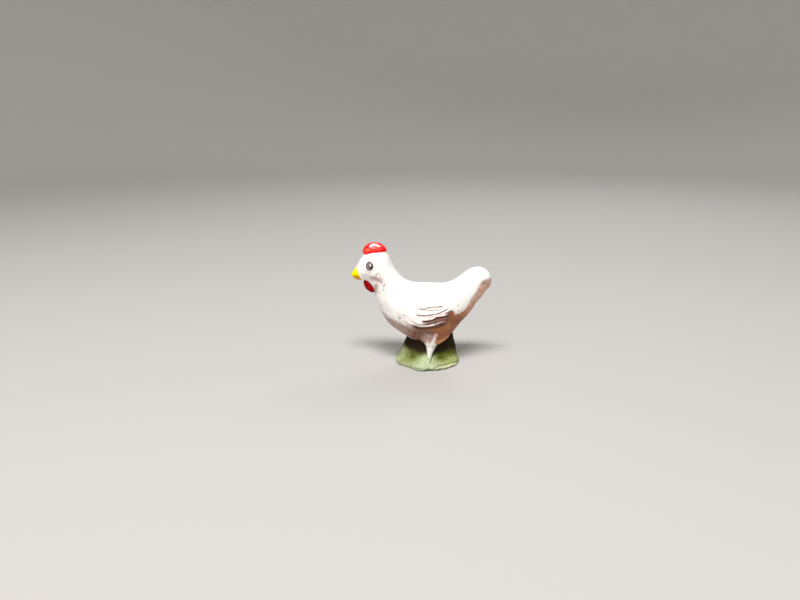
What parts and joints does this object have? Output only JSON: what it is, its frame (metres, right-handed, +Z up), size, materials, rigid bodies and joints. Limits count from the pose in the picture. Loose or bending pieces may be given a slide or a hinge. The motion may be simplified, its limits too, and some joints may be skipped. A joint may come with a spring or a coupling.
{
  "type": "painted clay hen figurine",
  "caption": "Small painted clay figure of a standing white hen with red comb, yellow beak and moulded wings, joined to a green mound base.",
  "frame": {"origin": "centre of the mound's flat underside, on the surface it stands on", "axes": "+Z up; the hen faces -X, its tail is at +X, and its left side is at -Y"},
  "size_m": [0.0276, 0.0126, 0.0245],
  "materials": {
    "white_paint": "fired clay under thin white paint, red-brown clay showing under the tail and rump",
    "red_paint": "fired clay under glossy red paint",
    "yellow_paint": "fired clay under satin yellow paint",
    "green_paint": "fired clay under matt, uneven moss-green paint",
    "eye_paint": "thin dark brown brush lines over white paint"
  },
  "bodies": {
    "root": {"base": "green_paint", "leg_left": "white_paint", "leg_right": "white_paint", "torso": "white_paint", "neck": "white_paint", "head": "white_paint", "tail": "white_paint", "wing_left": "white_paint", "wing_right": "white_paint", "beak": "yellow_paint", "comb": "red_paint", "wattles": "red_paint", "eye_left": "eye_paint", "eye_right": "eye_paint"}
  },
  "joints": []
}
